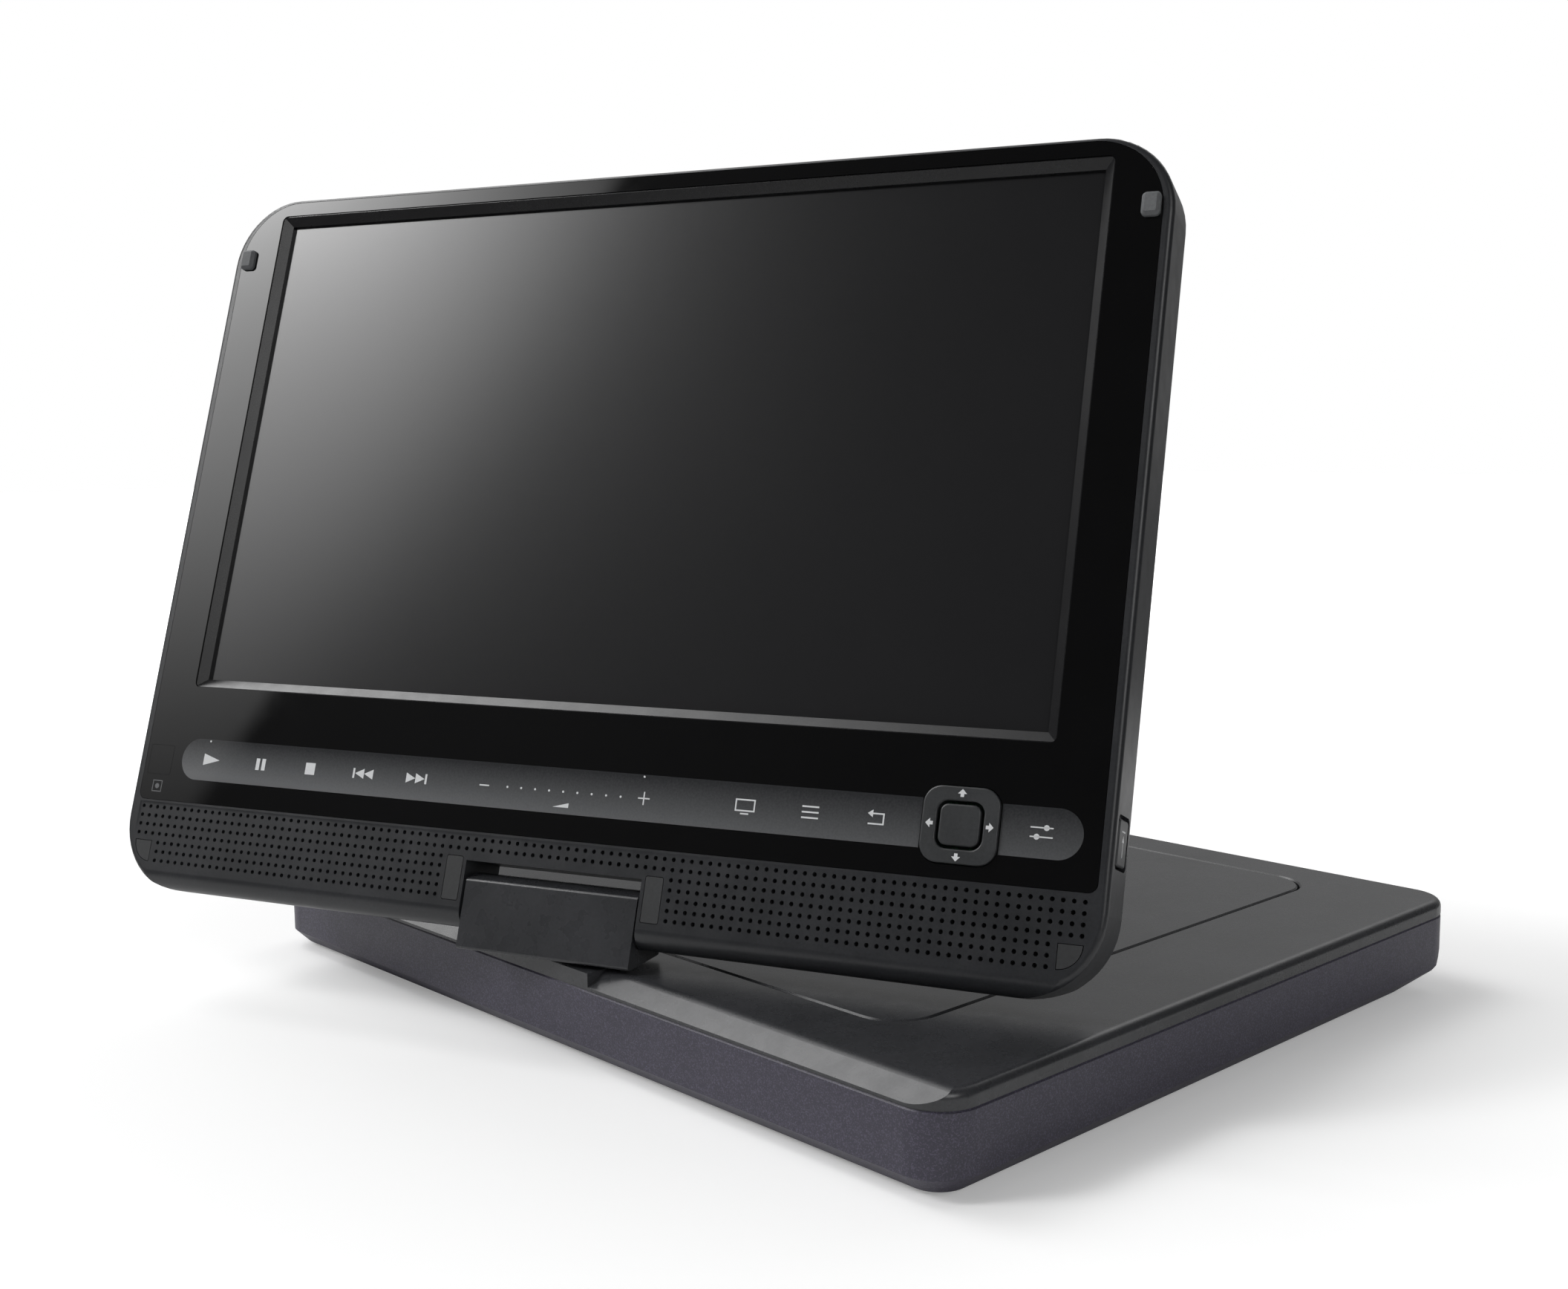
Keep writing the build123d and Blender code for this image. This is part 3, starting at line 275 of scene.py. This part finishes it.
CHARCOAL = ((0.027, 0.028, 0.0305), (0.038, 0.039, 0.043))
looks = {
    "casing_violet": metallic_paint("casing_violet", (0.034, 0.031, 0.047), (0.044, 0.040, 0.060), 0.42),
    "cover_charcoal": satin("cover_charcoal", *CHARCOAL, 0.28),
    "bezel_charcoal": satin("bezel_charcoal", (0.017, 0.018, 0.020), (0.024, 0.025, 0.028), 0.34),
    "inner_plastic": satin("inner_plastic", (0.020, 0.020, 0.021), (0.030, 0.030, 0.032), 0.5, 0.0004),
    "steel_sheet": brushed("steel_sheet", (0.42, 0.42, 0.43), (0.62, 0.62, 0.63), 0.34),
    "bright_steel": brushed("bright_steel", (0.60, 0.60, 0.61), (0.78, 0.78, 0.79), 0.18),
    "black_rubber": satin("black_rubber", (0.010, 0.010, 0.010), (0.02, 0.02, 0.02), 0.75, 0.0003, 0.00002),
    "pad_rubber": satin("pad_rubber", (0.020, 0.021, 0.022), (0.028, 0.029, 0.031), 0.5, 0.00014, 0.00001),
    "bumper_grey": satin("bumper_grey", (0.115, 0.120, 0.125), (0.150, 0.155, 0.160), 0.6, 0.0002, 0.00001),
    "lens_glass": lens(),
    "black_cloth": satin("black_cloth", (0.003, 0.003, 0.003), (0.009, 0.009, 0.009), 0.9, 0.0003, 0.00004),
    "battery_wrap": satin("battery_wrap", (0.016, 0.017, 0.020), (0.026, 0.027, 0.031), 0.3, 0.0012),
    "circuit_board": circuit(),
    "socket_black": satin("socket_black", (0.010, 0.010, 0.011), (0.018, 0.018, 0.019), 0.42),
    "piano_black": gloss_black(),
    "surround_black": satin("surround_black", (0.010, 0.010, 0.011), (0.016, 0.016, 0.017), 0.22),
    "screen_glass": lcd_face(),
    "speaker_black": satin("speaker_black", (0.006, 0.006, 0.006), (0.014, 0.014, 0.014), 0.8, 3e-4, 3e-5),
    "key_grey": satin("key_grey", (0.026, 0.0275, 0.029), (0.036, 0.038, 0.040), 0.38),
}
strip_look = control_strip()
ink_look = print_ink()


CRISP_ANGLE = 28  # faces that meet at more than this many degrees keep a crisp edge


def dress_cad_nodes():
    """Gives every CAD node the look of its material slot, with smooth curves and crisp edges."""
    for node in nodes.values():
        mesh = node.data
        slot = mesh.materials[0].name.split(".")[0]
        mesh.materials[0] = looks[slot].material
        mesh.shade_smooth()
        mesh.set_sharp_from_angle(angle=radians(CRISP_ANGLE))


# ---- printed and moulded marks ----
def bar(left, foot, right, head):
    return [(left, foot), (right, foot), (right, head), (left, head)]


def disc(u, v, radius, steps=20):
    turns = [2 * pi * i / steps for i in range(steps)]
    return [(u + radius * cos(turn), v + radius * sin(turn)) for turn in turns]


def placed(outlines, u=0.0, v=0.0, turn=0.0):
    """Outlines turned about their origin and moved to (u, v)."""
    return [[(u + x * cos(turn) - y * sin(turn), v + x * sin(turn) + y * cos(turn)) for x, y in outline]
            for outline in outlines]


def raised(name, outlines, place, low, high, look, body):
    """Flat shapes standing from low to high above a face; place turns (u, v, n) into a point."""
    mesh = bpy.data.meshes.new(name)
    shape = bmesh.new()
    for outline in outlines:
        foot = [shape.verts.new(place(u, v, low)) for u, v in outline]
        head = [shape.verts.new(place(u, v, high)) for u, v in outline]
        shape.faces.new(head)
        shape.faces.new(foot[::-1])
        for i in range(len(outline)):
            j = (i + 1) % len(outline)
            shape.faces.new((foot[i], foot[j], head[j], head[i]))
    bmesh.ops.recalc_face_normals(shape, faces=shape.faces[:])
    shape.to_mesh(mesh)
    shape.free()
    mesh.materials.append(look.material)
    piece = bpy.data.objects.new(name, mesh)
    scene.collection.objects.link(piece)
    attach(piece, body)
    return piece


PAD_U, PAD_V = 87.05, 10.17
PAD_HOLE = 7.9
FILM, INK, LEGEND_TOP, DOT_HEIGHT = 0.02, 0.03, 0.04, 0.18  # heights above the face, in millimetres


def strip_part(left, right, round_left, round_right, steps=24):
    """One stretch of the control strip, with a round end where it has one."""
    points = []
    for centre, sign, is_round in ((right, 1, round_right), (left, -1, round_left)):
        if not is_round:
            points += [(centre, STRIP_MID - sign * STRIP_RADIUS), (centre, STRIP_MID + sign * STRIP_RADIUS)]
            continue
        for step in range(steps + 1):
            turn = pi * step / steps - pi / 2
            points.append((centre + sign * (STRIP_RADIUS * cos(turn) - STRIP_RADIUS),
                           STRIP_MID + sign * STRIP_RADIUS * sin(turn)))
    return points


def make_control_strip():
    parts = [strip_part(STRIP_LEFT, PAD_U - PAD_HOLE, True, False),
             strip_part(PAD_U + PAD_HOLE, STRIP_RIGHT, False, True)]
    raised("control_strip", parts, on_screen, 0.0, FILM, strip_look, "display")


ARROW = [(-0.9, 0.0), (0.9, 0.0), (0.0, 0.9)]
ARROW_STEM = bar(-0.34, -0.6, 0.34, 0.0)


def make_legends():
    """Play, pause, stop, skip and volume marks, and plain pictures for the touch keys."""
    half, line = 1.325, 0.14  # half the size of the stop mark, and half the width of a thin line
    play = [[(0, -1.35), (4.66, 0), (0, 1.35)]]
    pause = [bar(-half, -half, 1 - half, half), bar(half - 1, -half, half, half)]
    stop = [bar(-half, -half, half, half)]
    skip = [bar(0, -1.1, 0.5, 1.1), [(0.6, 0), (3.0, -1.1), (3.0, 1.1)],
            [(3.05, 0), (5.45, -1.1), (5.45, 1.1)]]
    minus = [bar(-1.22, -line, 1.22, line)]
    volume_dots = [disc(3.44 * i, 0, 0.24) for i in range(9)]
    plus = [bar(-1.35, -line, 1.35, line), bar(-line, -1.35, line, 1.35)]
    wedge = [[(0, 0), (3.8, 0), (3.8, 1)]]
    picture = [bar(-2.2, 1.2, 2.2, 1.5), bar(-2.2, -1.0, 2.2, -0.7), bar(-2.2, -0.7, -1.9, 1.2),
               bar(1.9, -0.7, 2.2, 1.2), bar(-0.9, -1.6, 0.9, -1.3)]
    menu = [bar(-1.8, y - 0.16, 1.8, y + 0.16) for y in (-1.1, 0, 1.1)]
    way_back = [bar(-1.0, 0.7, 1.4, 1.0), bar(1.1, -1.0, 1.4, 0.7), bar(-1.9, -1.3, 1.4, -1.0),
                [(-1.0, 0.1), (-1.0, 1.6), (-2.1, 0.85)]]
    sliders = [bar(-2.2, 0.75, 2.2, 1.0), bar(-2.2, -1.0, 2.2, -0.75), disc(0.9, 0.875, 0.55),
               disc(-0.9, -0.875, 0.55)]
    marks = []
    for outlines, u, v, turn in ((play, -97.06, 10.25, 0), (pause, -80.375, 10.175, 0),
                                 (stop, -66.275, 10.175, 0), (skip, -54.4, 10.1, 0),
                                 (skip, -34.6, 10.1, pi), (minus, -19.72, 9.94, 0),
                                 (volume_dots, -13.9, 10.0, 0), (plus, 19.06, 10.06, 0),
                                 (wedge, -2.2, 6.7, 0), (picture, 42.0, 10.2, 0), (menu, 56.15, 10.2, 0),
                                 (way_back, 70.3, 10.2, 0), (sliders, 102.85, 10.2, 0)):
        marks += placed(outlines, u, v, turn)
    raised("touch_legends", marks, on_screen, FILM, LEGEND_TOP, ink_look, "display")


def make_small_marks():
    """Framed dot over the remote sensor, and two raised dots for the fingertips."""
    frame_and_dot = [bar(-1.4, -1.35, 1.4, -1.15), bar(-1.4, 1.15, 1.4, 1.35), bar(-1.4, -1.15, -1.2, 1.15),
                     bar(1.2, -1.15, 1.4, 1.15), disc(0, 0, 0.6)]
    remote = placed(frame_and_dot, -109.5, 3.15)
    raised("receiver_mark", remote, on_screen, 0.0, FILM, strip_look, "display")
    dots = [disc(u, 14.5, 0.22) for u in (-95.8, 18.6)]
    raised("touch_dots", dots, on_screen, 0.0, DOT_HEIGHT, ink_look, "display")


def make_arrows():
    top = (span("direction_key", outward)[1] - panel_face) / MM
    marks = []
    for u, v, turn in ((0, 5.93, 0), (-5.85, 0, pi / 2), (0, -5.97, pi), (5.85, 0, -pi / 2)):
        marks += placed([ARROW, ARROW_STEM], PAD_U + u, PAD_V + v, turn)
    raised("direction_arrows", marks, on_screen, top, top + INK, ink_look, "direction_pad")


def make_side_mark():
    """Arrow into a bar on the side button."""
    face = span("input_button", across)[1]
    low, high = span("input_button", upward)
    front, rear = span("input_button", outward)
    mid_v, mid_n = (low + high) / 2, (front + rear) / 2

    def place(a, b, n):
        return across * (face + n * MM) + upward * (mid_v + a * MM) + outward * (mid_n + b * MM)

    mark = [bar(-2.6, -0.14, 0.2, 0.14), [(0.2, -0.75), (1.4, 0.0), (0.2, 0.75)], bar(2.0, -1.3, 2.3, 1.3)]
    raised("side_mark", mark, place, 0.0, INK, ink_look, "input_pad")


# ---- floor, light and background ----
FLOOR_REACH = 4.0
PAPER_END = (0.30, 0.50)  # distances over which the paper ends
GLOW, GLOW_REACH = (0.24, 0.8), (0.12, 0.8)  # weakest and strongest glow, and how far off each is


def make_floor():
    size = FLOOR_REACH
    mesh = bpy.data.meshes.new("floor")
    corners = [(-size, -size, 0), (size, -size, 0), (size, size, 0), (-size, size, 0)]
    mesh.from_pydata(corners, [], [(0, 1, 2, 3)])
    floor = bpy.data.objects.new("floor", mesh)
    scene.collection.objects.link(floor)
    look = Look("floor_paper")
    # for reflections the paper ends in a dark room; what the camera sees of it goes on, and glows to white
    apart = look.add("ShaderNodeVectorMath", {"operation": "LENGTH"}, Vector=look.place).outputs["Value"]
    seen = look.add("ShaderNodeLightPath").outputs["Is Camera Ray"]
    paper = look.sum(look.spread(apart, 1.0, 0.0, *PAPER_END), seen, "MAXIMUM")
    look.set(Base_Color=look.tint((0.12, 0.12, 0.12), (0.86, 0.86, 0.86),
                                  look.sum(paper, look.spread(look.noise(0.3, 2), -0.02, 0.02))))
    lift = look.sum(look.spread(apart, *GLOW, *GLOW_REACH), seen, "MULTIPLY")
    look.set(Roughness=0.9, Emission_Color=(1, 1, 1, 1), Emission_Strength=lift)
    mesh.materials.append(look.material)


def direction(azimuth, elevation):
    """Unit vector towards a compass place: azimuth 0 is -Y and 90 is +X."""
    a, e = radians(azimuth), radians(elevation)
    return Vector((sin(a) * cos(e), -cos(a) * cos(e), sin(e)))


def make_studio():
    """Soft boxes painted on the surroundings, a pale wall behind and a dark room in front."""
    world = bpy.data.worlds.new("studio")
    scene.world = world
    world.use_nodes = True
    tree = world.node_tree
    tree.nodes.clear()
    towards = tree.nodes.new("ShaderNodeTexCoord").outputs["Generated"]

    def math(operation, *values):
        node = tree.nodes.new("ShaderNodeMath")
        node.operation = operation
        for socket, value in zip(node.inputs, values):
            if isinstance(value, bpy.types.NodeSocket):
                tree.links.new(value, socket)
            else:
                socket.default_value = value
        return node.outputs[0]

    def facing(vector):
        node = tree.nodes.new("ShaderNodeVectorMath")
        node.operation = "DOT_PRODUCT"
        tree.links.new(towards, node.inputs[0])
        node.inputs[1].default_value = vector
        return node.outputs["Value"]

    def ramp(value, start, end, low=0.0, high=1.0):
        node = tree.nodes.new("ShaderNodeMapRange")
        node.interpolation_type = "SMOOTHERSTEP"
        tree.links.new(value, node.inputs["Value"])
        for key, number in (("From Min", start), ("From Max", end), ("To Min", low), ("To Max", high)):
            node.inputs[key].default_value = number
        return node.outputs["Result"]

    def lobe(azimuth, elevation, half_width, strength):
        """Soft box that fades from its middle, to half its strength at half_width degrees."""
        sharpness = log(2) / (1 - cos(radians(half_width)))
        fall = math("SUBTRACT", facing(direction(azimuth, elevation)), 1.0)
        return math("MULTIPLY", math("EXPONENT", math("MULTIPLY", fall, sharpness)), strength)

    # the key light is a soft box with a brighter middle that ends along a straight edge
    key_edge = Vector((0.891, -0.424, 0.162))
    soft_box = math("ADD", lobe(143.7, 40.3, 5.2, 32.0), lobe(147.5, 32.4, 9.2, 6.2))
    key = math("MULTIPLY", soft_box, ramp(facing(key_edge), -0.004, 0.012))
    # weaker soft boxes round the object
    side = lobe(97, 47, 14, 7.0)
    left = lobe(252, 31, 10, 6.5)
    front = lobe(16, 43, 13, 2.1)
    # the room itself, a faint glow beside the key light and the pale wall
    dim_room = 0.08
    glow = lobe(160, 30, 11, 0.12)
    behind = ramp(facing(direction(42, 4)), 0.2, 0.95, 0.0, 0.30)
    total = math("ADD", math("ADD", dim_room, glow), behind)
    for light in (key, side, left, front):
        total = math("ADD", total, light)
    lit = tree.nodes.new("ShaderNodeBackground")
    tree.links.new(total, lit.inputs["Strength"])
    # the camera sees plain white behind the floor
    seen = tree.nodes.new("ShaderNodeBackground")
    seen.inputs["Strength"].default_value = 1.0
    seen.inputs["Color"].default_value = (1, 1, 1, 1)
    paths = tree.nodes.new("ShaderNodeLightPath")
    mix = tree.nodes.new("ShaderNodeMixShader")
    tree.links.new(paths.outputs["Is Camera Ray"], mix.inputs["Fac"])
    tree.links.new(lit.outputs[0], mix.inputs[1])
    tree.links.new(seen.outputs[0], mix.inputs[2])
    tree.links.new(mix.outputs[0], tree.nodes.new("ShaderNodeOutputWorld").inputs["Surface"])
    scene.view_settings.view_transform = "Standard"


dress_cad_nodes()
make_control_strip()
make_legends()
make_small_marks()
make_arrows()
make_side_mark()
make_floor()
make_studio()
